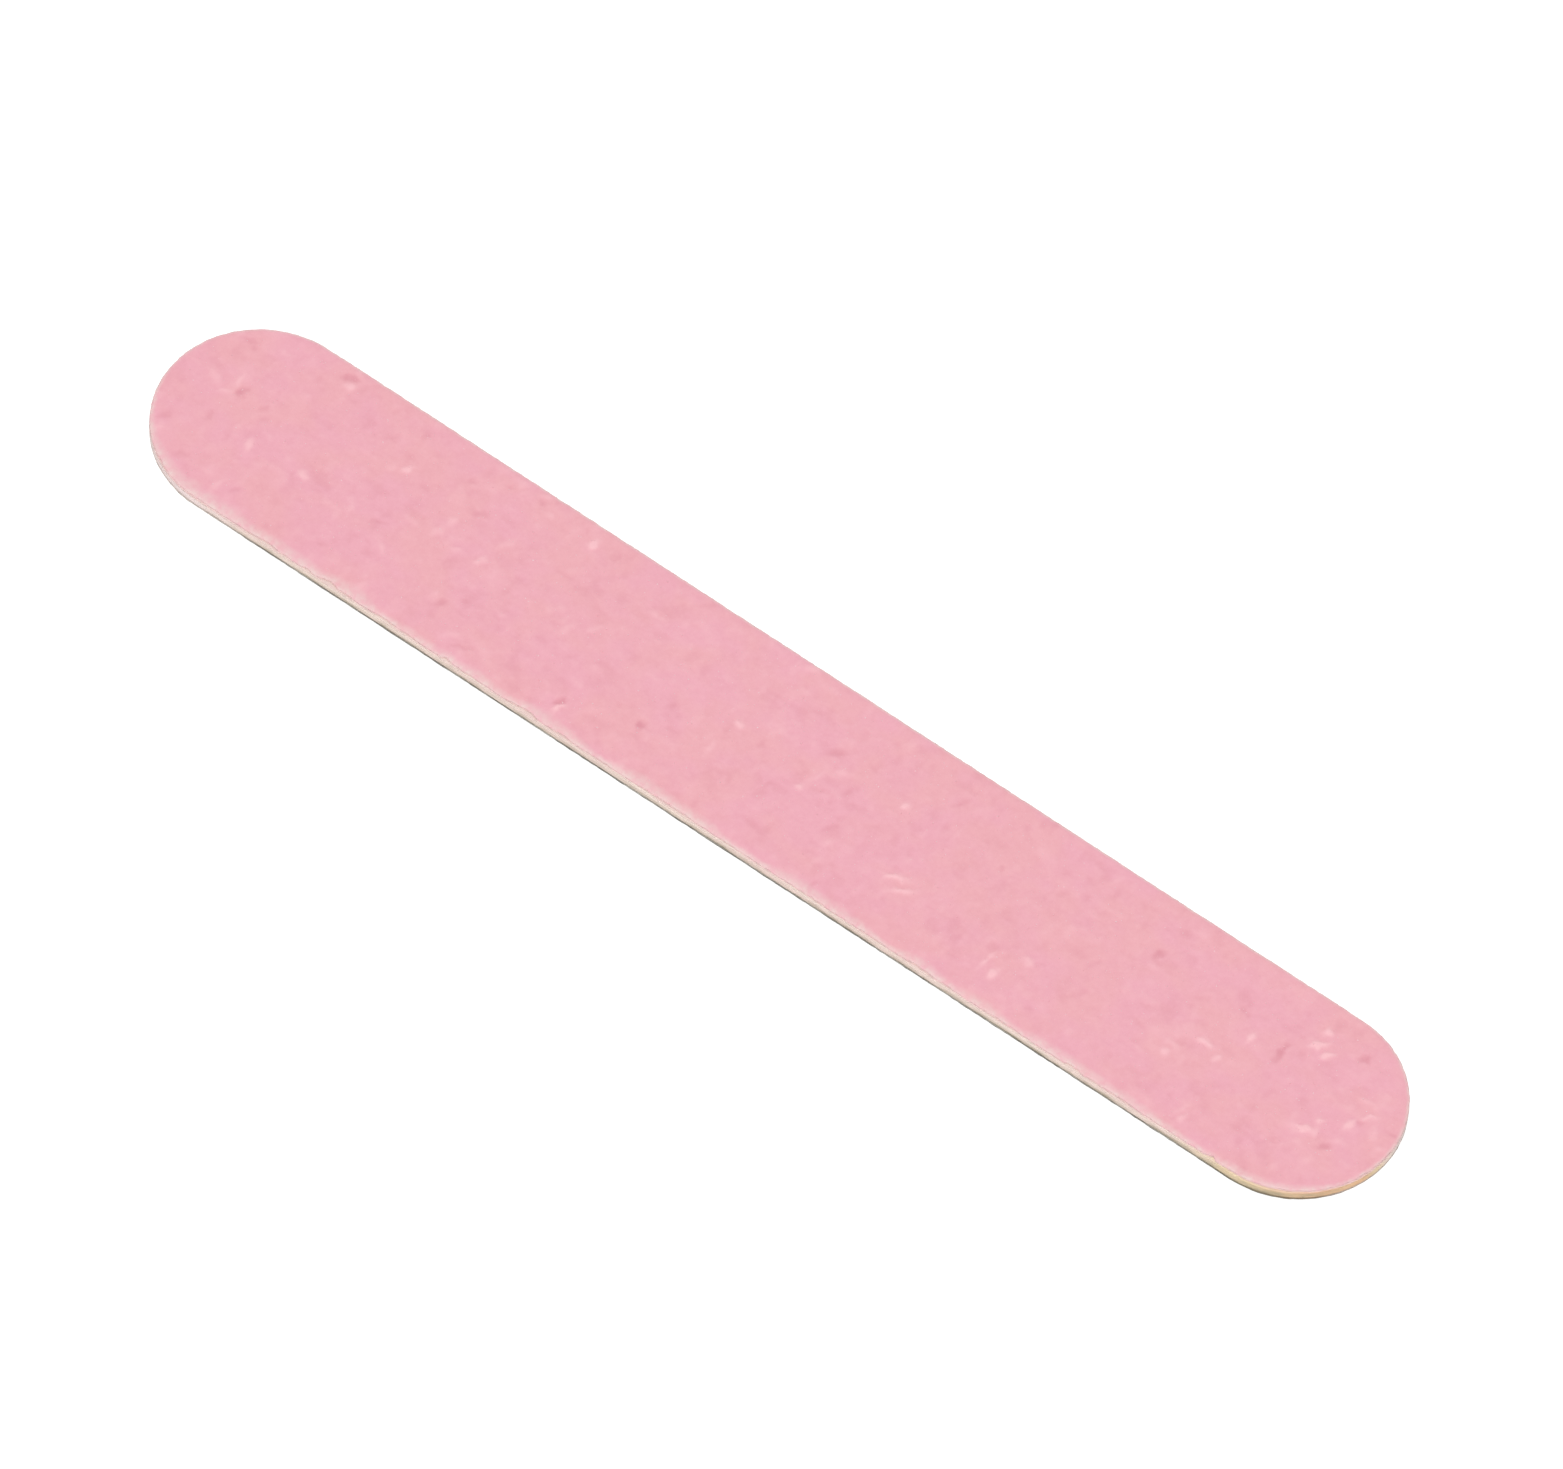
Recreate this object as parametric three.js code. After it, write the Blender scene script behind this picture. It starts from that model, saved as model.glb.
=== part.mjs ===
// A double-sided mini nail file (emery board): a flat strip with fully rounded ends, glued up
// from a thin wood core with a sheet of abrasive paper on each face. All dimensions are in
// millimetres. The origin is at the middle of the face that the file lies on, +X runs along
// the file, +Y across it and +Z through its thickness, from the lower face to the upper one.
import * as THREE from 'three';

// Driving dimensions of the whole file
const LENGTH = 85;
const WIDTH = 12.7;
const END_RADIUS = WIDTH / 2;

// Thickness of each layer; both faces are built up alike
const GRIT_THICKNESS = 0.06;
const BOND_COAT_THICKNESS = 0.04;
const PAPER_THICKNESS = 0.12;
const GLUE_THICKNESS = 0.03;
const CORE_THICKNESS = 0.5;

// The glue stops a little short of the cut edge, so that none is squeezed out round the file
const GLUE_INSET = 0.1;

// Segments in each quarter turn of a rounded end
const SEGMENTS_PER_QUARTER = 24;

// Surface finishes
const pinkGrit = new THREE.MeshStandardMaterial({ color: 0xf1b1bb, roughness: 0.85, metalness: 0 });
const pinkBond = new THREE.MeshStandardMaterial({ color: 0xe79aa9, roughness: 0.55, metalness: 0 });
const creamPaper = new THREE.MeshStandardMaterial({ color: 0xf1e2d2, roughness: 0.9, metalness: 0 });
const greyPaper = new THREE.MeshStandardMaterial({ color: 0x8c857a, roughness: 0.9, metalness: 0 });
const glue = new THREE.MeshStandardMaterial({ color: 0xe9dcb4, roughness: 0.35, metalness: 0 });
const wood = new THREE.MeshStandardMaterial({ color: 0xe6cda4, roughness: 0.7, metalness: 0 });
const greyGrit = new THREE.MeshStandardMaterial({ color: 0x7d766d, roughness: 0.85, metalness: 0 });
const greyBond = new THREE.MeshStandardMaterial({ color: 0x5f5a53, roughness: 0.55, metalness: 0 });

// The layers in the order they lie, from the face the file rests on to the upper face
const LAYERS = [
  { name: 'lower_abrasive_grit', thickness: GRIT_THICKNESS, inset: 0, material: greyGrit },
  { name: 'lower_bond_coat', thickness: BOND_COAT_THICKNESS, inset: 0, material: greyBond },
  { name: 'lower_backing_paper', thickness: PAPER_THICKNESS, inset: 0, material: greyPaper },
  { name: 'lower_glue_film', thickness: GLUE_THICKNESS, inset: GLUE_INSET, material: glue },
  { name: 'wood_core', thickness: CORE_THICKNESS, inset: 0, material: wood },
  { name: 'upper_glue_film', thickness: GLUE_THICKNESS, inset: GLUE_INSET, material: glue },
  { name: 'upper_backing_paper', thickness: PAPER_THICKNESS, inset: 0, material: creamPaper },
  { name: 'upper_bond_coat', thickness: BOND_COAT_THICKNESS, inset: 0, material: pinkBond },
  { name: 'upper_abrasive_grit', thickness: GRIT_THICKNESS, inset: 0, material: pinkGrit },
];

// Outline of one layer: two half circles joined by the straight long edges
function roundEndedStrip(inset) {
  const radius = END_RADIUS - inset;
  const endCentre = LENGTH / 2 - END_RADIUS;
  const outline = new THREE.Shape();
  outline.absarc(endCentre, 0, radius, -Math.PI / 2, Math.PI / 2);
  outline.absarc(-endCentre, 0, radius, Math.PI / 2, (3 * Math.PI) / 2);
  return outline;
}

// One layer as a flat plate with its underside at height z
function layerMesh(layer, z) {
  const geometry = new THREE.ExtrudeGeometry(roundEndedStrip(layer.inset), {
    depth: layer.thickness,
    bevelEnabled: false,
    curveSegments: SEGMENTS_PER_QUARTER,
  });
  const mesh = new THREE.Mesh(geometry, layer.material);
  mesh.name = layer.name;
  mesh.position.z = z;
  return mesh;
}

// Stack the layers face to face
function nailFile() {
  const group = new THREE.Group();
  let z = 0;
  for (const layer of LAYERS) {
    group.add(layerMesh(layer, z));
    z += layer.thickness;
  }
  return group;
}

export default nailFile();
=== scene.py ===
"""Looks for a double-sided mini nail file: a thin wood core with abrasive paper on both faces.

Every layer is rebuilt as a dense closed mesh inside the space its CAD plate holds: beds of
angular grains on the two faces, a crumbled rim, a torn paper edge and cut wood fibres. Shapes
are worked out in millimetres, in the frame of the CAD model, and stored in metres.
"""

import math

import bmesh
import bpy
import numpy as np
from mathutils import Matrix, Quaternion, Vector
from mathutils.geometry import delaunay_2d_cdt


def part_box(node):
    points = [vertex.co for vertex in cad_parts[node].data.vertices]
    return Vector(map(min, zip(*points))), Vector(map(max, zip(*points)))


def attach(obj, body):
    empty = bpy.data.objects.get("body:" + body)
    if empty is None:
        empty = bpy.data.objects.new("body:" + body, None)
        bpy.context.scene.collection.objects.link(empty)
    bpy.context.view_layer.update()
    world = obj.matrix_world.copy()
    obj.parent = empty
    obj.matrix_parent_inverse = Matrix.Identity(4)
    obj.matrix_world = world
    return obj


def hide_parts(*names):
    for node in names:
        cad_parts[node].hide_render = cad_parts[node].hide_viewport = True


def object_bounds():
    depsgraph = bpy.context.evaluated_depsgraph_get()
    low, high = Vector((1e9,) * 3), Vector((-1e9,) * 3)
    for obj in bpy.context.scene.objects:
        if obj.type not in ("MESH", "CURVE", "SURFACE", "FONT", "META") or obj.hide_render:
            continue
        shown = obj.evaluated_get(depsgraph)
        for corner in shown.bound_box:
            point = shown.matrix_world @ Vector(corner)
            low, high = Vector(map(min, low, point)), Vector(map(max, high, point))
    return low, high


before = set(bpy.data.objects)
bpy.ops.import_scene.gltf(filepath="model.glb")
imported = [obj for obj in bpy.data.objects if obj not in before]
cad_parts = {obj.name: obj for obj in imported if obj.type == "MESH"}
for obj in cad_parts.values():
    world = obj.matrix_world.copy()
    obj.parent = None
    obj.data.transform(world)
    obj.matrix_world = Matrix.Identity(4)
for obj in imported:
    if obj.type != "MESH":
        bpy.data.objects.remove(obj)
cad_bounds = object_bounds()

MM = 0.001

# The outline, from the frame: two half circles joined by the straight long edges
HALF_LENGTH = cad_bounds[1].x / MM
RADIUS = cad_bounds[1].y / MM
STRAIGHT = HALF_LENGTH - RADIUS

# Distance between the points of a mesh round the outline, and over an abrasive face
RING_STEP = 0.1
FACE_STEP = 0.122

# Rows of points close to the rim, as distances from it. The space inside them is filled freely
RIM_ZONE = 1.0
RIM_ROWS = (RIM_ZONE, 0.85, 0.7, 0.56, 0.43, 0.32, 0.22, 0.14, 0.08, 0.03, 0.0)

# The die that cut the file out pressed the upper sheet down a little at its rim
UPPER_SAG = 0.07
LOWER_SAG = 0.02
SAG_REACH = 0.6

# Wear rounds off the corner of each face at the rim
PINK_ROUNDING = 0.04
GREY_ROUNDING = 0.03
ROUNDING_REACH = 0.16

# Distance between the grains bedded in the two faces, their height, and the deepest dent
PINK_GRAIN = 0.3
PINK_GRAIN_HEIGHT = 0.034
GREY_GRAIN = 0.42
GREY_GRAIN_HEIGHT = 0.07
DEEPEST_DENT = 0.045

# Loose crystals on each face, and their mean size
CRYSTAL_COUNT = 2400
PINK_CRYSTAL = 0.05
GREY_CRYSTAL = 0.07

# How far the plies of a torn edge wander in and out, in paper, resin and glue, and how long the
# fuzz on them is. A sheet's face has some fuzz too, on the rows nearer to the rim than FUZZY_ROW
PAPER_TEAR = 0.016
RESIN_TEAR = 0.012
GLUE_TEAR = 0.01
FUZZ_LENGTH = 0.2
FUZZY_ROW = 0.8

# Length of straight edge over which the tint of each cut end sets in
END_TINT_LEAD = 5.0

# Gaps along the long edge at -Y where the pink coat has crumbled off the paper: how many there
# are, and the least and most of their half length and depth
CHIP_COUNT = 15
CHIP_HALF = (0.6, 1.7)
CHIP_DEPTH = (0.1, 0.26)

# The strongest marks on the pink face: clumps of grain and size coat that stand out of it, and
# dents in it, whose height is below zero. Each row holds place along and across, length, width,
# turn in degrees and height. The places were picked by eye on the photo, converted to
# millimetres by a script with an earlier fit of the camera, and rounded; the rest was judged
MARKS = (
    (-39.0, 0.4, 1.1, 0.35, 35, 0.04),
    (-38.8, 1.4, 1.1, 0.35, 105, 0.04),
    (-38.3, 0.8, 0.6, 0.50, 35, -0.05),
    (-35.8, -1.7, 1.0, 0.40, 110, 0.06),
    (-34.0, 5.5, 0.9, 0.50, 35, -0.06),
    (-33.7, 5.0, 0.9, 0.35, 35, 0.05),
    (-32.2, -1.4, 0.6, 0.50, 0, 0.07),
    (-27.8, 2.6, 0.8, 0.40, 60, 0.06),
    (-20.9, 0.2, 0.9, 0.40, 60, 0.06),
    (-16.6, 5.0, 0.7, 0.50, 70, 0.09),
    (-11.8, -4.6, 0.7, 0.50, 60, -0.06),
    (-11.6, -5.0, 0.9, 0.35, 60, 0.08),
    (-7.4, -3.0, 0.6, 0.50, 0, -0.05),
    (-3.0, 0.5, 0.6, 0.45, 0, 0.06),
    (2.2, -0.8, 0.6, 0.45, 60, 0.06),
    (2.4, 2.3, 1.0, 0.60, 35, -0.04),
    (7.6, 1.8, 0.5, 0.45, 0, 0.08),
    (10.1, -2.3, 1.6, 0.35, 22, 0.07),
    (10.8, -2.8, 1.6, 0.35, 35, 0.07),
    (17.2, -3.5, 1.5, 0.30, 80, 0.05),
    (18.0, -4.1, 0.8, 0.45, 80, 0.09),
    (24.6, 2.8, 0.8, 0.50, 90, -0.05),
    (28.6, -2.3, 0.7, 0.45, 10, 0.06),
    (30.1, -0.4, 1.1, 0.40, 5, 0.08),
    (31.2, -0.8, 0.6, 0.40, 40, 0.06),
    (31.9, -5.3, 0.7, 0.40, 80, 0.06),
    (31.9, 1.4, 0.9, 0.40, 80, 0.07),
    (33.8, 1.8, 1.5, 0.40, 90, -0.05),
    (35.2, 3.4, 1.3, 0.35, 40, 0.09),
    (35.2, 4.4, 0.7, 0.45, 20, 0.09),
    (36.0, 3.1, 0.7, 0.40, 45, 0.09),
    (37.7, 4.2, 0.8, 0.50, 35, -0.06),
    (37.8, -1.6, 1.1, 0.50, 15, 0.10),
    (38.2, -0.6, 0.6, 0.40, 80, 0.07),
    (39.4, -1.7, 0.8, 0.40, 60, -0.05),
    (39.7, 0.3, 0.9, 0.40, 80, 0.07),
    (40.3, 1.3, 1.0, 0.30, 50, 0.06),
)

# Fainter marks of the same kind, strewn at random: how many there are, the least and most of
# their length and width, the mean and spread of their turn, and the heights they have
STRAY_MARKS = 180
STRAY_LENGTH = (0.5, 1.3)
STRAY_WIDTH = (0.3, 0.55)
STRAY_TURN = (50, 35)
STRAY_HEIGHTS = (-0.025, -0.015, 0.015, 0.03)

# The camera: the point it looks at, in millimetres, its direction and roll in degrees, the length
# of its lens in millimetres, and its distance and how far it sees in metres
CAMERA_AIM = (-1.06, 1.91, 0)
CAMERA_AZIMUTH, CAMERA_ELEVATION, CAMERA_ROLL = 31.9, 57.2, 5.4
CAMERA_LENS = 1107
CAMERA_DISTANCE = 2.7
CAMERA_SIGHT = 20

# Softboxes: azimuth and elevation in degrees and power in watts; their size and distance, the
# strength of the light from all round, and half the width of the floor
SOFTBOXES = {"key_light": (25, 60, 7.0), "back_light": (-145, 50, 2.6)}
SOFTBOX_SIZE = 0.6
SOFTBOX_DISTANCE = 1.2
SKY_STRENGTH = 0.45
FLOOR_HALF_WIDTH = 4.0


# ---------------------------------------------------------------- repeatable noise
# A seed is any number. Patterns that should match share one, the others have their own.


def scatter(i, j, seed):
    """A repeatable random number from 0 to 1 for each whole-number lattice point."""
    mixed = np.sin(i * 12.9898 + j * 78.233 + seed * 37.719) * 43758.5453
    return mixed - np.floor(mixed)


def soft_noise(u, v, seed):
    """Smooth noise from -1 to 1 whose lumps are about one unit of u and v across."""
    i, j = np.floor(u), np.floor(v)
    a, b = u - i, v - j
    a, b = a * a * (3 - 2 * a), b * b * (3 - 2 * b)
    near = scatter(i, j, seed) * (1 - a) + scatter(i + 1, j, seed) * a
    far = scatter(i, j + 1, seed) * (1 - a) + scatter(i + 1, j + 1, seed) * a
    return 2 * (near * (1 - b) + far * b) - 1


def grain_bed(x, y, size, seed):
    """Height from 0 to 1 of a bed of tilted, angular grains that lie about size apart. Each has
    a ridge, so that one pair of its flanks is steeper than the other."""
    margin, lowest = 0.1, 0.45
    tilt, steep, gentle, skew = 0.25, 1.32, 0.88, 0.33
    u, v = x / size, y / size
    height = np.zeros_like(u)
    for di in (-1, 0, 1):
        for dj in (-1, 0, 1):
            i, j = np.floor(u) + di, np.floor(v) + dj
            du = u - i - margin - (1 - 2 * margin) * scatter(i, j, seed)
            dv = v - j - margin - (1 - 2 * margin) * scatter(i, j, seed + 1)
            turn = 2 * math.pi * scatter(i, j, seed + 2)
            a = du * np.cos(turn) + dv * np.sin(turn)
            b = dv * np.cos(turn) - du * np.sin(turn)
            top = lowest + (1 - lowest) * scatter(i, j, seed + 3)
            drop = np.maximum(steep * np.abs(a), gentle * np.abs(b) + skew * np.abs(a))
            height = np.maximum(height, top + tilt * a - drop)
    return height


def ramp(value, start, end):
    """From 0 at start to 1 at end, and level beyond them."""
    return np.clip((value - start) / (end - start), 0, 1)


# ---------------------------------------------------------------- the outline and closed layers


class Outline:
    """Points round the file, anticlockwise from the -Y edge, with the outward direction at each."""

    def __init__(self, step):
        side_count = round(2 * STRAIGHT / step)
        end_count = round(math.pi * RADIUS / step)
        along = np.linspace(-STRAIGHT, STRAIGHT, side_count, endpoint=False)
        turn = np.linspace(-math.pi / 2, math.pi / 2, end_count, endpoint=False)
        end = np.full(end_count, STRAIGHT)
        front = np.full(side_count, -math.pi / 2)
        angle = np.concatenate((front, turn, -front, turn + math.pi))
        self.centre = np.concatenate((along, end, -along, -end))
        self.out_x, self.out_y = np.cos(angle), np.sin(angle)
        self.count = len(self.centre)
        self.lap = np.arange(self.count) * step

    def point(self, inset):
        """Places at these distances inside the outline."""
        return self.centre + self.out_x * (RADIUS - inset), self.out_y * (RADIUS - inset)

    def ripple(self, length, seed, level=0.0):
        """Soft noise from -1 to 1 that runs round the outline, in waves of about this length."""
        return soft_noise(self.lap / length, self.lap * 0 + level, seed)

    def front(self):
        """1 along the edge at -Y, falling to 0 at both tips and along the other edge."""
        return np.clip(-self.out_y, 0, 1)

    def end_side(self):
        """From -1 at the -X tip to 1 on the -Y side of the +X tip. It leaves 0 shortly before the
        ends turn, and is below 0 on the +Y side of the +X end too."""
        lead, fade, far_side = 0.4, 3, -0.6
        near = ramp(np.abs(self.centre), STRAIGHT - END_TINT_LEAD, STRAIGHT)
        side = lead * np.sign(self.centre) * near + (1 - lead) * self.out_x
        return np.where(side > 0, side * np.clip(-fade * self.out_y, far_side, 1), side)

    def rubbed_ends(self):
        """1 round the -X end and close to the +X tip, where the lower edge is rubbed pale."""
        return np.maximum(ramp(self.out_x, 0.7333, 0.9), ramp(self.end_side(), 0, -0.4))


def within(x, y, inset):
    """Whether points lie more than inset inside the outline."""
    return np.hypot(np.maximum(np.abs(x) - STRAIGHT, 0), y) < RADIUS - inset


def infill(ring, inset, step, seed):
    """Uneven points all over the face inside a ring, and the triangles that join them up. The
    triangles count the points of the ring first."""
    draw = np.random.default_rng(seed)
    line_step = 0.87 * step
    shift = 0.36
    clearance = 0.6 * step
    columns = np.arange(-HALF_LENGTH, HALF_LENGTH, step)
    lines = np.arange(-RADIUS, RADIUS, line_step)
    x, y = np.meshgrid(columns, lines)
    stagger = 0.5 * (np.arange(len(lines)) % 2)[:, None]
    x = (x + step * (stagger + draw.uniform(-shift, shift, x.shape))).ravel()
    y = (y + step * draw.uniform(-shift, shift, y.shape)).ravel()
    inside = within(x, y, inset + clearance)
    x, y = x[inside], y[inside]

    rim_x, rim_y = ring.point(inset)
    corners = [Vector(pair) for pair in zip(np.append(rim_x, x), np.append(rim_y, y))]
    loop = [(i, (i + 1) % ring.count) for i in range(ring.count)]
    triangles = delaunay_2d_cdt(corners, loop, [], 1, 1e-6)[2]
    return x, y, triangles


class Shell:
    """A closed body made of rings of points. They run from its outer face, over the rim and
    back to the middle line of its hidden face."""

    def __init__(self, name, ring):
        self.name = name
        self.ring = ring
        self.rows = []
        self.values = {}
        self.inner = []
        self.triangles = []

    def row(self, inset, height, **values):
        """Add the next ring, with its distance inside the outline, its height and its values."""
        x, y = self.ring.point(np.broadcast_to(inset, self.ring.count))
        self.rows.append(np.stack((x, y, np.broadcast_to(height, self.ring.count)), axis=-1))
        for label, value in values.items():
            self.values.setdefault(label, []).append(np.broadcast_to(value, self.ring.count))

    def fill(self, x, y, height, triangles, **values):
        """Close the first ring with a face of free points. This comes after the last row."""
        self.inner = [np.stack((x, y, height), axis=-1)]
        start, past = self.ring.count, self.ring.count * (len(self.rows) - 1)
        self.triangles = [[c if c < start else c + past for c in corners] for corners in triangles]
        for label, value in values.items():
            self.values[label].append(value)

    def piece(self, face_down=False):
        """Join the rings into a closed mesh. Without a fill, the first ring lies on the middle
        line, as the last one always does, and its points are merged across it."""
        index = np.arange(len(self.rows) * self.ring.count).reshape(len(self.rows), -1)
        after = np.roll(index, -1, axis=1)
        quads = np.stack((index[:-1], index[1:], after[1:], after[:-1]), axis=-1).reshape(-1, 4)
        points = np.concatenate(self.rows + self.inner) * MM
        mesh = bpy.data.meshes.new(self.name)
        mesh.from_pydata(points.tolist(), [], quads.tolist() + self.triangles)
        for label, values in self.values.items():
            layer = mesh.attributes.new(label, "FLOAT", "POINT")
            layer.data.foreach_set("value", np.concatenate(values).astype(np.float32))

        work = bmesh.new()
        work.from_mesh(mesh)
        ends = np.append(index[0], index[-1]) if not self.triangles else index[-1]
        work.verts.ensure_lookup_table()
        bmesh.ops.remove_doubles(work, verts=[work.verts[i] for i in ends], dist=1e-7)
        if face_down:
            bmesh.ops.reverse_faces(work, faces=work.faces)
        work.to_mesh(mesh)
        work.free()
        mesh.shade_smooth()
        return place_piece(self.name, mesh)


def place_piece(name, mesh):
    piece = bpy.data.objects.new(name, mesh)
    bpy.context.scene.collection.objects.link(piece)
    return piece


def settle(piece, material, slot, *nodes):
    """Give a piece its material, its body and the CAD nodes that it stands for."""
    piece.data.materials.append(material)
    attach(piece, "root")
    if nodes:
        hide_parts(*nodes)


def span(node):
    """Lowest and highest z of a CAD node, in millimetres."""
    low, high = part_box(node)
    return low.z / MM, high.z / MM


def sag(inset, depth):
    """How far a sheet is pressed down at a distance inside the outline."""
    return depth * np.clip(1 - inset / SAG_REACH, 0, 1) ** 2


def rounding(row, depth):
    """How much of a face's corner is missing at a row near the rim."""
    return depth * max(0, 1 - row / ROUNDING_REACH) ** 2


def to_rim(row, edge):
    """The inset of a row once the rim itself has moved in by edge."""
    if row >= RIM_ZONE:
        return np.full_like(edge, row)
    return edge + row * (1 - edge / RIM_ZONE)


# ---------------------------------------------------------------- cut edges


def pink_edge(ring):
    """How far the crumbled edge of the pink coat lies inside the outline."""
    least, crumb, bay = 0.02, 0.045, 0.06
    small = 0.5 + 0.5 * ring.ripple(0.24, 3)
    broad = np.clip(ring.ripple(1.5, 4), 0, 1)
    edge = least + crumb * small + bay * broad * np.maximum(ring.front(), 0.3)
    x, y = ring.point(0)
    draw = np.random.default_rng(37)
    for place in draw.uniform(-STRAIGHT, STRAIGHT, CHIP_COUNT):
        half, depth = draw.uniform(*CHIP_HALF), draw.uniform(*CHIP_DEPTH)
        reach = np.clip(1 - ((x - place) / half) ** 2, 0, 1) ** 2
        edge = np.maximum(edge, np.where(y < 0, depth * reach * (0.55 + 0.6 * small), 0))
    return edge


def cut_edge(ring, seed, depth, start=0.0):
    """How far a cleanly cut sheet lies inside the outline."""
    return start + depth * (0.5 + 0.35 * ring.ripple(0.3, seed) + 0.15 * ring.ripple(2.0, seed + 1))


def wear_reach(ring):
    """How far in from the rim the pink coat is rubbed pale: most along the -Y edge, and more so
    towards the -X end."""
    least, extra = 0.18, 1.4
    uneven = 0.52 + 0.35 * ring.ripple(2.2, 31) + 0.1 * ring.ripple(0.8, 33)
    handled = 0.58 - 0.2 * ring.centre / STRAIGHT
    return least + extra * handled * uneven * ring.front() ** 2


# ---------------------------------------------------------------- abrasive faces


def all_marks():
    """The listed marks, and many faint ones at random, most of them turned alike."""
    draw = np.random.default_rng(29)
    strays = np.stack((
        draw.uniform(-HALF_LENGTH, HALF_LENGTH, STRAY_MARKS),
        draw.uniform(-RADIUS, RADIUS, STRAY_MARKS),
        draw.uniform(*STRAY_LENGTH, STRAY_MARKS),
        draw.uniform(*STRAY_WIDTH, STRAY_MARKS),
        draw.normal(*STRAY_TURN, STRAY_MARKS),
        draw.choice(STRAY_HEIGHTS, STRAY_MARKS),
    ), axis=-1)
    return MARKS + tuple(strays)


def mark_height(x, y):
    """How far the clumps and dents lift the pink face, in millimetres."""
    bend, bend_length, squareness = 0.13, 0.35, 1.3
    bent_x = x + bend * soft_noise(x / bend_length, y / bend_length, 61)
    bent_y = y + bend * soft_noise(x / bend_length, y / bend_length, 62)
    height = np.zeros_like(x)
    for place, across, length, width, turn, tall in all_marks():
        c, s = math.cos(math.radians(turn)), math.sin(math.radians(turn))
        a = ((bent_x - place) * c + (bent_y - across) * s) / (length / 2)
        b = ((bent_y - across) * c - (bent_x - place) * s) / (width / 2)
        height += tall * np.exp(-((a * a + b * b) ** squareness))
    return height


def pink_relief(x, y):
    """Height of the pink face over the plate's top, and its pale value, which is painted light:
    painted shade at 0 or less in the dents, a painted highlight at 1 or more on the clumps. No dent
    goes right through the coat."""
    bed = grain_bed(x, y, PINK_GRAIN, 11)
    small = grain_bed(x, y, 0.45 * PINK_GRAIN, 23)
    broad = soft_noise(x / 1.3, y / 1.1, 10)
    lumps = np.clip(soft_noise(x / 0.55, y / 0.5, 9) + 0.5 * broad - 0.35, 0, 1)
    dents = np.clip(soft_noise(x / 0.6, y / 0.55, 12) - 0.5 * broad - 0.35, 0, 1)
    proud = mark_height(x, y)
    swell, lump_height = 0.008, 0.02
    height = PINK_GRAIN_HEIGHT * (0.75 * bed + 0.25 * small - 0.5)
    height += swell * broad + lump_height * (lumps - dents) + proud
    # Painted light: paler on grain crests, lumps and clumps, deeper in dents and hollows
    pale = 0.3 + 0.2 * bed + 0.3 * (lumps - dents) + np.clip(proud / 0.07, -0.7, 1.2)
    return np.maximum(height, -DEEPEST_DENT), pale


def grey_relief(x, y):
    """Height from 0 to 1 of the coarser grains on the grey face."""
    return 0.75 * grain_bed(x, y, GREY_GRAIN, 41) + 0.25 * grain_bed(x, y, 0.4 * GREY_GRAIN, 57)


def pink_face(ring):
    """The pink abrasive coat, from its grains down to the bond coat. Its wear is 1 where it is
    rubbed pale."""
    bottom, top = span("upper_abrasive_grit")
    shell = Shell("pink_grit_face", ring)
    edge = pink_edge(ring)
    reach = wear_reach(ring)
    for row in RIM_ROWS:
        inset = to_rim(row, edge)
        relief, pale = pink_relief(*ring.point(inset))
        height = top + relief * min(1, 0.35 + row)
        height -= sag(inset, UPPER_SAG) + rounding(row, PINK_ROUNDING)
        shell.row(inset, height, pale=pale, wear=np.clip(1 - row / reach, 0, 1))
    for share in (0.45, 0.1):
        torn = RESIN_TEAR * ring.ripple(FUZZ_LENGTH, 7, 9 * share)
        height = bottom + share * (top - bottom) - sag(edge, UPPER_SAG)
        shell.row(edge + torn, height, pale=0.5, wear=1)
    for row in (0.0, RIM_ZONE, RADIUS):
        inset = to_rim(row, edge)
        shell.row(inset, bottom - sag(inset, UPPER_SAG), pale=0, wear=1)
    x, y, triangles = infill(ring, RIM_ZONE, FACE_STEP, 13)
    relief, pale = pink_relief(x, y)
    shell.fill(x, y, top + relief, triangles, pale=pale, wear=x * 0)
    return shell.piece()


def grey_face(ring):
    """The grey abrasive coat underneath. Its highest grains just touch the plane it lies on, and
    its rim is rubbed pale, most of all at the ends."""
    bottom, top = span("lower_abrasive_grit")
    shell = Shell("grey_grit_face", ring)
    edge = cut_edge(ring, seed=63, depth=0.06)
    rubbed = ring.rubbed_ends()
    for row in RIM_ROWS:
        inset = to_rim(row, edge)
        relief = grey_relief(*ring.point(inset))
        height = bottom + GREY_GRAIN_HEIGHT * (1 - relief)
        height += sag(inset, LOWER_SAG) + rounding(row, GREY_ROUNDING)
        wear = max(0, 1 - row / 0.3) * (0.3 + 0.7 * rubbed)
        # pale carries painted light: a painted highlight on the grain crests and painted shade in the
        # hollows
        shell.row(inset, height, pale=relief, wear=wear)
    for row in (0.0, RIM_ZONE, RADIUS):
        inset = to_rim(row, edge)
        shell.row(inset, top + sag(inset, LOWER_SAG), pale=0, wear=rubbed)
    x, y, triangles = infill(ring, RIM_ZONE, FACE_STEP, 17)
    relief = grey_relief(x, y)
    shell.fill(x, y, bottom + GREY_GRAIN_HEIGHT * (1 - relief), triangles, pale=relief, wear=x * 0)
    return shell.piece(face_down=True)


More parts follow.
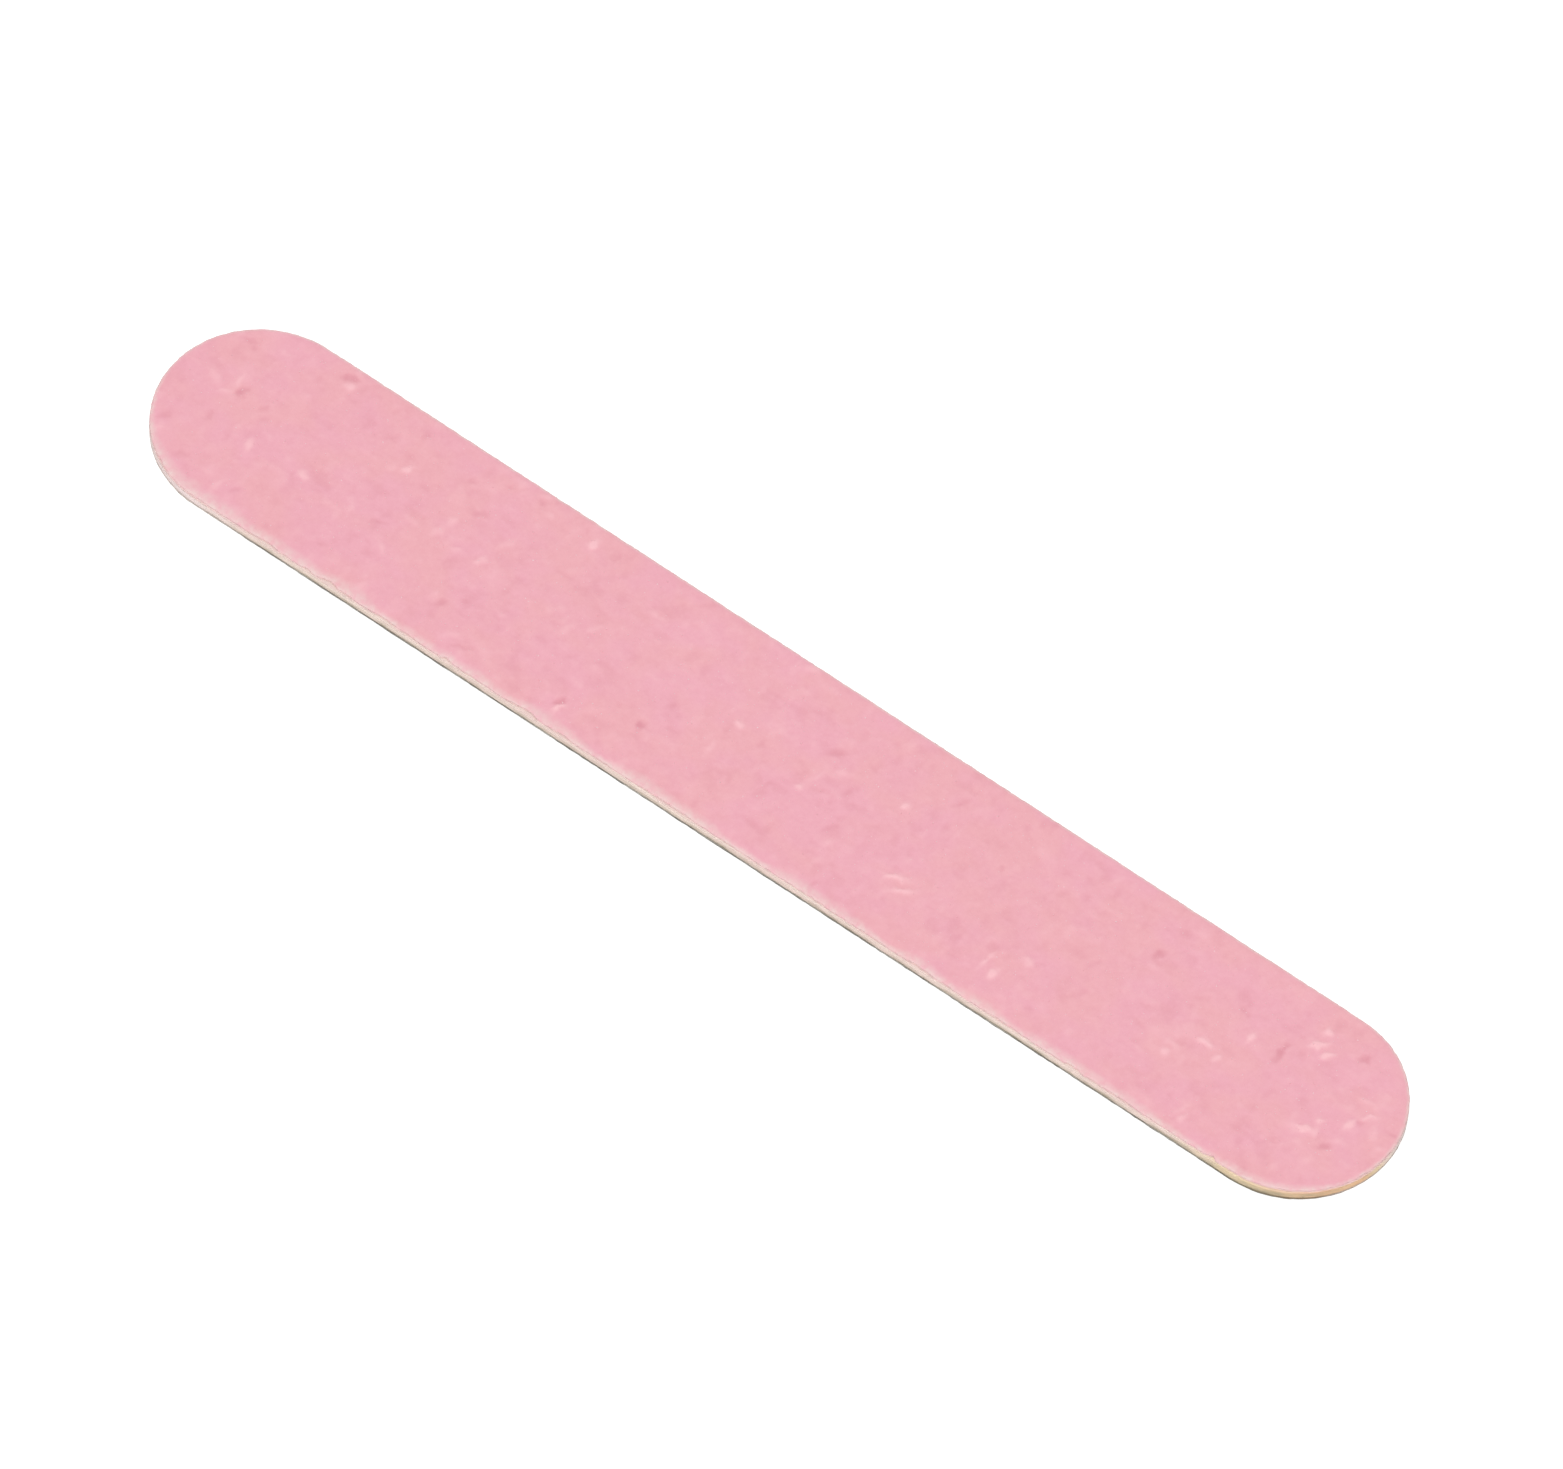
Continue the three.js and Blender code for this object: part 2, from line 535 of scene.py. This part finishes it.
def crystals(name, size, surface, seed):
    """Sharp grains, each a closed faceted body more than half sunk into a face."""
    draw = np.random.default_rng(seed)
    block = bmesh.new()
    bmesh.ops.create_icosphere(block, subdivisions=1, radius=1)
    corners = np.array([vertex.co for vertex in block.verts])
    triangles = np.array([[vertex.index for vertex in face.verts] for face in block.faces])
    block.free()

    x = draw.uniform(-HALF_LENGTH, HALF_LENGTH, 2 * CRYSTAL_COUNT)
    y = draw.uniform(-RADIUS, RADIUS, 2 * CRYSTAL_COUNT)
    inside = within(x, y, SAG_REACH)
    x, y = x[inside][:CRYSTAL_COUNT], y[inside][:CRYSTAL_COUNT]
    points = []
    for place in zip(x, y, surface(x, y)):
        turn = np.linalg.qr(draw.normal(size=(3, 3)))[0]
        turn *= np.sign(np.linalg.det(turn))
        stretch = size * draw.uniform(0.6, 1.2) * draw.uniform(0.6, 1.25, 3)
        rough = corners * draw.uniform(0.8, 1.15, (len(corners), 1)) * stretch
        grain = rough @ turn.T + place
        grain[:, 2] += max(0, -grain[:, 2].min())
        points.append(grain)
    faces = np.concatenate([triangles + len(corners) * number for number in range(len(points))])
    mesh = bpy.data.meshes.new(name)
    mesh.from_pydata((np.concatenate(points) * MM).tolist(), [], faces.tolist())
    return place_piece(name, mesh)


def pink_crystals():
    """Sharp grains that just break through the pink coat."""
    top = span("upper_abrasive_grit")[1]
    sunk = 0.012
    return crystals(
        "pink_grit_crystals",
        PINK_CRYSTAL,
        surface=lambda x, y: top + pink_relief(x, y)[0] - sunk,
        seed=71,
    )


def grey_crystals():
    """Coarser grains that stand out of the grey coat, none of them below the plane it lies on."""
    bottom = span("lower_abrasive_grit")[0]
    sunk = 0.09
    return crystals(
        "grey_grit_crystals",
        GREY_CRYSTAL,
        surface=lambda x, y: np.full_like(x, bottom + sunk),
        seed=83,
    )


# ---------------------------------------------------------------- sheets, glue and wood


def sheet_layer(name, node, ring, edge, depth, plies, rough, seed):
    """One thin coat or sheet of paper, whose cut edge is torn into this many plies."""
    bottom, top = span(node)
    bend = math.copysign(1, depth)
    look = {"end_side": ring.end_side(), "rubbed": ring.rubbed_ends()}
    shell = Shell(name, ring)
    for row in (RADIUS,) + RIM_ROWS:
        inset = to_rim(row, edge)
        x, y = ring.point(inset)
        fuzz = 0.25 * rough * soft_noise(x / FUZZ_LENGTH, y / FUZZ_LENGTH, seed)
        lift = fuzz if row < FUZZY_ROW else 0
        shell.row(inset, top + lift - bend * sag(inset, abs(depth)), **look)
    for ply in range(1, plies):
        torn = rough * ring.ripple(FUZZ_LENGTH, seed + 1, 3.1 * ply)
        height = top + (bottom - top) * ply / plies - bend * sag(edge, abs(depth))
        shell.row(np.maximum(edge + torn, 0) + 0.3 * rough, height, **look)
    for row in (0.0, RIM_ZONE, RADIUS):
        inset = to_rim(row, edge)
        shell.row(inset, bottom - bend * sag(inset, abs(depth)), **look)
    return shell.piece()


def wood_layer(ring):
    """The wood core: long fibres along the straight edges, end grain round the ends. Painted shade
    darkens the lower part of its edge, least of all where the ends are rubbed."""
    bottom, top = span("wood_core")
    rows = 14
    corner_setback, setback = 0.012, 0.025
    fibre_depth, tear_depth, pore_depth = 0.010, 0.035, 0.012
    edge = np.full(ring.count, corner_setback)
    edge_sag = sag(0.015, UPPER_SAG)
    end = np.abs(ring.out_x)
    side = ring.end_side()
    look = {"end_grain": end, "end_side": side}
    # Painted shade on the lower edge, in the low attribute: it climbs highest on the -Y side of the +X end
    # and fades where the ends are rubbed
    spread = 1.1 - 0.7 * np.clip(2 * side, -1, 1)
    lower_shade_share = 1 - 0.8 * ring.rubbed_ends()
    shell = Shell("wood_core_veneer", ring)
    for row in (RADIUS,) + RIM_ROWS:
        inset = to_rim(row, edge)
        shell.row(inset, top - sag(inset, UPPER_SAG), low=0, **look)
    for number in range(1, rows):
        level = 1 - number / rows
        fibre = ring.ripple(2.6, 93, 0.8 * number)
        tear = np.clip(ring.ripple(0.9, 95, 0.45 * number) - 0.5, 0, 1)
        pore = ring.ripple(0.2, 97, 1.7 * number)
        along = fibre_depth * fibre + tear_depth * tear
        inset = setback + along * (1 - end) + pore_depth * pore * end
        height = bottom + level * (top - bottom) - level**3 * edge_sag
        shell.row(inset, height, low=lower_shade_share * (1 - level) ** spread, **look)
    for row in (0.0, RIM_ZONE, RADIUS):
        inset = to_rim(row, edge)
        shell.row(inset, bottom + sag(inset, LOWER_SAG), low=lower_shade_share, **look)
    return shell.piece()


# ---------------------------------------------------------------- materials


class Surface:
    """A node material under construction: each call adds one node and returns its output."""

    def __init__(self, name):
        self.material = bpy.data.materials.new(name)
        self.material.use_nodes = True
        self.tree = self.material.node_tree
        self.shader = self.tree.nodes["Principled BSDF"]
        self.place = self.tree.nodes.new("ShaderNodeTexCoord").outputs["Object"]

    def add(self, kind, links=None, values=None, **settings):
        node = self.tree.nodes.new(kind)
        for key, value in settings.items():
            setattr(node, key, value)
        for key, value in (values or {}).items():
            node.inputs[key].default_value = value
        for key, output in (links or {}).items():
            self.tree.links.new(output, node.inputs[key])
        return node

    def stretched(self, x, y, z):
        """Object coordinates in units of x, y and z millimetres."""
        scale = (1 / (x * MM), 1 / (y * MM), 1 / (z * MM))
        return self.add("ShaderNodeMapping", {"Vector": self.place}, {"Scale": scale}).outputs[0]

    def noise(self, place, detail=2.0, roughness=0.5):
        values = {"Scale": 1.0, "Detail": detail, "Roughness": roughness}
        return self.add("ShaderNodeTexNoise", {"Vector": place}, values).outputs["Fac"]

    def cells(self, place):
        return self.add("ShaderNodeTexVoronoi", {"Vector": place}, {"Scale": 1.0})

    def tones(self, cells):
        """Three random numbers for each cell."""
        return self.add("ShaderNodeSeparateColor", {0: cells.outputs["Color"]}).outputs

    def attribute(self, name):
        return self.add("ShaderNodeAttribute", attribute_name=name).outputs["Fac"]

    def fit(self, value, low, high, new_low=0.0, new_high=1.0):
        """Map a value from low..high to new_low..new_high, clamped."""
        values = {1: low, 2: high, 3: new_low, 4: new_high}
        return self.add("ShaderNodeMapRange", {0: value}, values).outputs[0]

    def calculate(self, operation, first, second):
        node = self.add("ShaderNodeMath", operation=operation)
        for socket, value in zip(node.inputs, (first, second)):
            if isinstance(value, (int, float)):
                socket.default_value = value
            else:
                self.tree.links.new(value, socket)
        return node.outputs[0]

    def blend(self, factor, first, second):
        node = self.add("ShaderNodeMix", data_type="RGBA")
        for socket, value in zip((node.inputs[0], node.inputs[6], node.inputs[7]), (factor, first, second)):
            if isinstance(value, tuple):
                socket.default_value = (*value, 1.0)
            elif isinstance(value, (int, float)):
                socket.default_value = value
            else:
                self.tree.links.new(value, socket)
        return node.outputs[2]

    def bump(self, height, depth, strength=1.0, normal=None):
        links = {"Height": height}
        if normal is not None:
            links["Normal"] = normal
        values = {"Strength": strength, "Distance": depth * MM}
        return self.add("ShaderNodeBump", links, values).outputs[0]

    def use(self, **sockets):
        """Set or link the shader's sockets; underscores stand for the spaces in their names."""
        for key, value in sockets.items():
            socket = self.shader.inputs[key.replace("_", " ")]
            if isinstance(value, bpy.types.NodeSocket):
                self.tree.links.new(value, socket)
            elif isinstance(value, tuple):
                socket.default_value = (*value, 1.0)
            else:
                socket.default_value = value
        return self.material


def grit_material(name, colours, grain, contrast):
    """Size-coated abrasive: each grain has its own tone, with a painted highlight on the crests and
    painted shade in the hollows. The colours are the deep tone, which also paints the shade in the
    hollows, two kinds of coat, the painted highlight of the crests and the rubbed rim."""
    deep, main, tinted, pale, rubbed = colours
    s = Surface(name)
    grains = s.cells(s.stretched(grain, grain, grain))
    tone = s.tones(grains)
    patches = s.noise(s.stretched(3.0, 2.4, 3.0), 2.0, 0.55)
    mottle = s.noise(s.stretched(0.9, 0.8, 0.8), 2.0, 0.5)
    colour = s.blend(s.fit(patches, 0.38, 0.62), main, tinted)
    colour = s.blend(s.fit(mottle, 0.3, 0.7, 0.0, contrast), colour, deep)
    colour = s.blend(s.fit(tone[0], 0.0, 1.0, 0.0, 0.7 * contrast), colour, deep)
    # Painted shade in the hollows and dents and a painted highlight on the crests and clumps, set by the
    # pale attribute
    colour = s.blend(s.fit(s.attribute("pale"), 0.35, -0.4, 0.0, 0.9), colour, deep)
    colour = s.blend(s.fit(s.attribute("pale"), 0.35, 1.3, 0.0, 1.0), colour, pale)
    broken = s.fit(s.noise(s.stretched(0.5, 0.5, 0.5), 3.0, 0.6), 0.35, 0.65, 0.35, 1.0)
    rub = s.calculate("MULTIPLY", s.fit(s.attribute("wear"), 0.0, 0.9), broken)
    colour = s.blend(rub, colour, rubbed)
    dome = s.fit(grains.outputs["Distance"], 0.0, 0.8, 1.0, 0.0)
    fine = s.noise(s.stretched(0.035, 0.035, 0.035), 2.0, 0.6)
    normal = s.bump(dome, 0.012, 0.6)
    normal = s.bump(fine, 0.005, 0.4, normal)
    return s.use(
        Base_Color=colour,
        Roughness=s.fit(tone[1], 0.0, 1.0, 0.55, 0.85),
        Normal=normal,
        Specular_IOR_Level=0.3,
    )


def pink_grit_material():
    # The first colour is the deep tone that also paints shade in the hollows; the crest colour is a painted
    # highlight
    deep_tone_and_hollow_shade, salmon, rose = (0.77, 0.32, 0.38), (0.912, 0.458, 0.503), (0.912, 0.448, 0.528)
    crest_highlight, rubbed = (0.99, 0.56, 0.605), (0.88, 0.65, 0.63)
    return grit_material("pink_grit", (deep_tone_and_hollow_shade, salmon, rose, crest_highlight, rubbed), grain=0.12, contrast=0.13)


def grey_grit_material():
    # The first colour is the deep tone that also paints shade in the hollows; the crest colour is a painted
    # highlight
    deep_tone_and_hollow_shade, olive, slate = (0.10, 0.088, 0.072), (0.205, 0.181, 0.153), (0.19, 0.175, 0.155)
    crest_highlight, rubbed = (0.36, 0.33, 0.29), (0.72, 0.64, 0.58)
    return grit_material("grey_grit", (deep_tone_and_hollow_shade, olive, slate, crest_highlight, rubbed), grain=0.16, contrast=0.6)


def crystal_material(name, body, clear, roughness):
    """Abrasive crystals, glossier than the coat round them."""
    s = Surface(name)
    tone = s.tones(s.cells(s.stretched(0.4, 0.4, 0.4)))
    cloud = s.noise(s.stretched(0.05, 0.05, 0.05))
    return s.use(
        Base_Color=s.blend(s.calculate("MULTIPLY", tone[0], cloud), body, clear),
        Roughness=s.fit(tone[1], 0.0, 1.0, roughness, roughness + 0.3),
        Normal=s.bump(cloud, 0.004, 0.4),
        Specular_IOR_Level=0.5,
    )


def pink_crystal_material():
    body, clear = (0.88, 0.50, 0.55), (0.95, 0.74, 0.77)
    return crystal_material("pink_crystal", body, clear, roughness=0.4)


def grey_crystal_material():
    body, clear = (0.22, 0.20, 0.17), (0.55, 0.53, 0.49)
    return crystal_material("grey_crystal", body, clear, roughness=0.2)


def rub_over(s, colour, rubbed):
    """Lay the tint of a rubbed edge over a colour, where the edge is rubbed."""
    strength = 0.8
    share = s.calculate("MULTIPLY", s.attribute("rubbed"), strength)
    return s.blend(share, colour, rubbed)


def bond_material(name, main, deep, rubbed):
    """Hardened resin: a slightly glossy broken edge."""
    s = Surface(name)
    cloud = s.noise(s.stretched(0.3, 0.3, 0.12), 3.0, 0.6)
    nicks = s.noise(s.stretched(0.07, 0.07, 0.03))
    return s.use(
        Base_Color=rub_over(s, s.blend(cloud, main, deep), rubbed),
        Roughness=s.fit(nicks, 0.3, 0.7, 0.4, 0.65),
        Normal=s.bump(nicks, 0.01, 0.6),
        Specular_IOR_Level=0.4,
    )


def pink_bond_material():
    return bond_material(
        "pink_bond_coat",
        main=(0.88, 0.64, 0.61),
        deep=(0.86, 0.57, 0.56),
        rubbed=(0.88, 0.58, 0.58),
    )


def grey_bond_material():
    return bond_material(
        "grey_bond_coat",
        main=(0.16, 0.145, 0.125),
        deep=(0.10, 0.09, 0.076),
        rubbed=(0.70, 0.60, 0.54),
    )


def end_tints(s, colour, yellowed, scorched, ashen):
    """The hot die left the -Y side of the +X end yellow, then scorched at its tip. The other side
    of that end and the whole -X end turned greyish."""
    side = s.attribute("end_side")
    cloud = s.fit(s.noise(s.stretched(0.9, 0.9, 0.5)), 0.3, 0.6, 0.75, 1.0)
    for low, high, tint in ((0.05, 0.4, yellowed), (0.5, 0.85, scorched), (-0.1, -0.5, ashen)):
        colour = s.blend(s.calculate("MULTIPLY", s.fit(side, low, high), cloud), colour, tint)
    return colour


def paper_material(name, main, dark, fibre, tints, rubbed):
    """Backing paper: flat fibres in its face, and a fuzzy cut edge in fine plies."""
    s = Surface(name)
    felt = s.noise(s.stretched(0.5, 0.12, 0.02), 4.0, 0.65)
    blotch = s.noise(s.stretched(2.2, 2.0, 1.0))
    speck = s.cells(s.stretched(0.35, 0.35, 0.05)).outputs["Distance"]
    colour = s.blend(s.fit(blotch, 0.4, 0.65), main, fibre)
    colour = end_tints(s, colour, *tints)
    colour = rub_over(s, colour, rubbed)
    colour = s.blend(s.fit(felt, 0.35, 0.7, 0.0, 0.5), colour, dark)
    colour = s.blend(s.fit(speck, 0.02, 0.12, 0.3, 0.0), colour, dark)
    return s.use(
        Base_Color=colour,
        Roughness=s.fit(felt, 0.3, 0.7, 0.8, 0.95),
        Normal=s.bump(felt, 0.02, 0.8),
        Specular_IOR_Level=0.25,
        Sheen_Weight=0.15,
        Sheen_Roughness=0.5,
    )


def cream_paper_material():
    return paper_material(
        "cream_paper",
        main=(0.86, 0.65, 0.61),
        dark=(0.78, 0.57, 0.52),
        fibre=(0.90, 0.75, 0.67),
        tints=((0.87, 0.69, 0.44), (0.87, 0.52, 0.36), (0.84, 0.66, 0.69)),
        rubbed=(0.87, 0.60, 0.56),
    )


def grey_paper_and_edge_shade_material():
    # Partly painted shade: a grey backing paper whose dark cut edge also stands in for the shade along the
    # file's lower edge
    return paper_material(
        "grey_paper_and_edge_shade",
        main=(0.20, 0.18, 0.15),
        dark=(0.13, 0.115, 0.09),
        fibre=(0.46, 0.43, 0.38),
        tints=((0.22, 0.18, 0.10), (0.26, 0.17, 0.10), (0.50, 0.47, 0.45)),
        rubbed=(0.74, 0.63, 0.57),
    )


def glue_material():
    """Dried laminating glue, amber and slightly shiny."""
    amber, brown = (0.84, 0.68, 0.58), (0.76, 0.60, 0.48)
    s = Surface("laminating_glue")
    cloud = s.noise(s.stretched(0.8, 0.8, 0.1))
    bubbles = s.cells(s.stretched(0.2, 0.2, 0.06)).outputs["Distance"]
    return s.use(
        Base_Color=s.blend(cloud, amber, brown),
        Roughness=s.fit(cloud, 0.3, 0.7, 0.25, 0.4),
        Normal=s.bump(bubbles, 0.01, 0.5),
        Specular_IOR_Level=0.5,
    )


def wood_material():
    """Pale veneer: fibres and pores run along the file, and painted shade darkens the lower part of the
    cut.
    """
    rosy, cream = (0.86, 0.66, 0.62), (0.90, 0.75, 0.67)
    tints = ((0.84, 0.66, 0.40), (0.80, 0.47, 0.26), (0.80, 0.66, 0.67))
    dark_fibre, end_brown = (0.66, 0.49, 0.36), (0.60, 0.44, 0.28)
    olive_lower_shade, dark_pore = (0.32, 0.27, 0.185), (0.45, 0.33, 0.22)
    s = Surface("core_wood")
    fibre = s.noise(s.stretched(4.0, 0.07, 0.05), 3.0, 0.65)
    rings = s.noise(s.stretched(9.0, 0.9, 0.3))
    pores = s.cells(s.stretched(2.5, 0.09, 0.09)).outputs["Distance"]
    scratch = s.noise(s.stretched(0.09, 0.5, 1.5))
    colour = s.blend(s.fit(rings, 0.35, 0.65), rosy, cream)
    colour = end_tints(s, colour, *tints)
    colour = s.blend(s.fit(fibre, 0.5, 0.8, 0.0, 0.45), colour, dark_fibre)
    end_grain = s.calculate("MULTIPLY", s.attribute("end_grain"), 0.15)
    colour = s.blend(end_grain, colour, end_brown)
    # Painted shade: darker towards the bottom of the edge
    lower_shade = s.fit(s.noise(s.stretched(1.6, 1.6, 0.6), 3.0, 0.6), 0.35, 0.65, 0.3, 1.0)
    lower_shade = s.calculate("MULTIPLY", lower_shade, s.attribute("low"))
    colour = s.blend(lower_shade, colour, olive_lower_shade)
    hole = s.fit(pores, 0.05, 0.25, 0.4, 0.0)
    colour = s.blend(hole, colour, dark_pore)
    normal = s.bump(fibre, 0.02, 0.6)
    normal = s.bump(pores, 0.02, 0.4, normal)
    normal = s.bump(scratch, 0.008, 0.4, normal)
    return s.use(
        Base_Color=colour,
        Roughness=s.fit(fibre, 0.3, 0.7, 0.55, 0.8),
        Normal=normal,
        Specular_IOR_Level=0.35,
    )


def floor_material():
    """A plain white acrylic table that is lit from below as well as from above."""
    white, off_white = (0.88, 0.88, 0.88), (0.86, 0.86, 0.86)
    s = Surface("white_table")
    haze = s.noise(s.stretched(400, 400, 400))
    return s.use(
        Base_Color=s.blend(haze, white, off_white),
        Roughness=0.6,
        Emission_Color=(1.0, 1.0, 1.0),
        Emission_Strength=0.5,
        Specular_IOR_Level=0.2,
    )


# ---------------------------------------------------------------- the file


def build_upper_sheet(ring, glue):
    """The pink abrasive paper and the glue under it."""
    settle(pink_face(ring), pink_grit_material(), "pink_grit", "upper_abrasive_grit")
    settle(pink_crystals(), pink_crystal_material(), "pink_grit")

    node = "upper_bond_coat"
    edge = np.maximum(pink_edge(ring) - 0.03, 0)
    piece = sheet_layer("pink_bond_edge", node, ring, edge, UPPER_SAG, plies=2, rough=RESIN_TEAR, seed=101)
    settle(piece, pink_bond_material(), "pink_bond_coat", node)

    node = "upper_backing_paper"
    edge = cut_edge(ring, seed=121, depth=0.03)
    piece = sheet_layer("cream_paper", node, ring, edge, UPPER_SAG, plies=4, rough=PAPER_TEAR, seed=103)
    settle(piece, cream_paper_material(), "backing_paper", node)

    node = "upper_glue_film"
    edge = cut_edge(ring, seed=131, depth=0.03, start=0.015)
    piece = sheet_layer("upper_glue_line", node, ring, edge, UPPER_SAG, plies=1, rough=GLUE_TEAR, seed=105)
    settle(piece, glue, "laminating_glue", node)


def build_lower_sheet(ring, glue):
    """The grey abrasive paper and the glue over it."""
    node = "lower_glue_film"
    edge = cut_edge(ring, seed=141, depth=0.05, start=0.05)
    piece = sheet_layer("lower_glue_line", node, ring, edge, -LOWER_SAG, plies=1, rough=GLUE_TEAR, seed=107)
    settle(piece, glue, "laminating_glue", node)

    node = "lower_backing_paper"
    edge = cut_edge(ring, seed=151, depth=0.03)
    piece = sheet_layer("grey_paper_and_edge_shade", node, ring, edge, -LOWER_SAG, plies=4, rough=PAPER_TEAR, seed=109)
    settle(piece, grey_paper_and_edge_shade_material(), "grey_backing_paper", node)

    node = "lower_bond_coat"
    edge = cut_edge(ring, seed=63, depth=0.05)
    piece = sheet_layer("grey_bond_edge", node, ring, edge, -LOWER_SAG, plies=2, rough=RESIN_TEAR, seed=111)
    settle(piece, grey_bond_material(), "grey_bond_coat", node)

    settle(grey_face(ring), grey_grit_material(), "grey_grit", "lower_abrasive_grit")
    settle(grey_crystals(), grey_crystal_material(), "grey_grit")


def build_file():
    """Build and place every layer of the file."""
    ring = Outline(RING_STEP)
    glue = glue_material()
    build_upper_sheet(ring, glue)
    settle(wood_layer(ring), wood_material(), "core_wood", "wood_core")
    build_lower_sheet(ring, glue)


# ---------------------------------------------------------------- studio


def add_floor():
    """A large plain floor at the height that the file lies on."""
    half = FLOOR_HALF_WIDTH
    corners = [(-half, -half, 0), (half, -half, 0), (half, half, 0), (-half, half, 0)]
    mesh = bpy.data.meshes.new("floor")
    mesh.from_pydata(corners, [], [(0, 1, 2, 3)])
    mesh.materials.append(floor_material())
    place_piece("floor", mesh)


def direction(azimuth, elevation):
    """Unit vector from the object towards a camera or lamp; azimuth 0 is in front, at -Y."""
    a, e = math.radians(azimuth), math.radians(elevation)
    return Vector((math.sin(a) * math.cos(e), -math.cos(a) * math.cos(e), math.sin(e)))


def add_softbox(name, azimuth, elevation, power):
    """A square soft light that faces the object."""
    lamp = bpy.data.lights.new(name, "AREA")
    lamp.size = SOFTBOX_SIZE
    lamp.energy = power
    light = bpy.data.objects.new(name, lamp)
    back = direction(azimuth, elevation)
    light.location = back * SOFTBOX_DISTANCE
    light.rotation_euler = back.to_track_quat("Z", "Y").to_euler()
    light.visible_camera = False
    bpy.context.scene.collection.objects.link(light)


def add_sky():
    """Even white light from all round."""
    world = bpy.data.worlds.new("studio")
    world.use_nodes = True
    background = world.node_tree.nodes["Background"]
    background.inputs["Color"].default_value = (1, 1, 1, 1)
    background.inputs["Strength"].default_value = SKY_STRENGTH
    bpy.context.scene.world = world


def add_camera():
    """A long lens far away, at the height and angle from which the file is seen, a little rolled."""
    back = direction(CAMERA_AZIMUTH, CAMERA_ELEVATION)
    roll = Quaternion((0, 0, 1), math.radians(CAMERA_ROLL))
    lens = bpy.data.cameras.new("camera")
    lens.lens = CAMERA_LENS
    lens.clip_end = CAMERA_SIGHT
    camera = bpy.data.objects.new("camera", lens)
    camera.location = Vector(CAMERA_AIM) * MM + back * CAMERA_DISTANCE
    camera.rotation_euler = (back.to_track_quat("Z", "Y") @ roll).to_euler()
    bpy.context.scene.collection.objects.link(camera)
    bpy.context.scene.camera = camera


add_camera()
build_file()
add_floor()
add_sky()
for name, (azimuth, elevation, power) in SOFTBOXES.items():
    add_softbox(name, azimuth, elevation, power)
bpy.context.scene.view_settings.view_transform = "Standard"
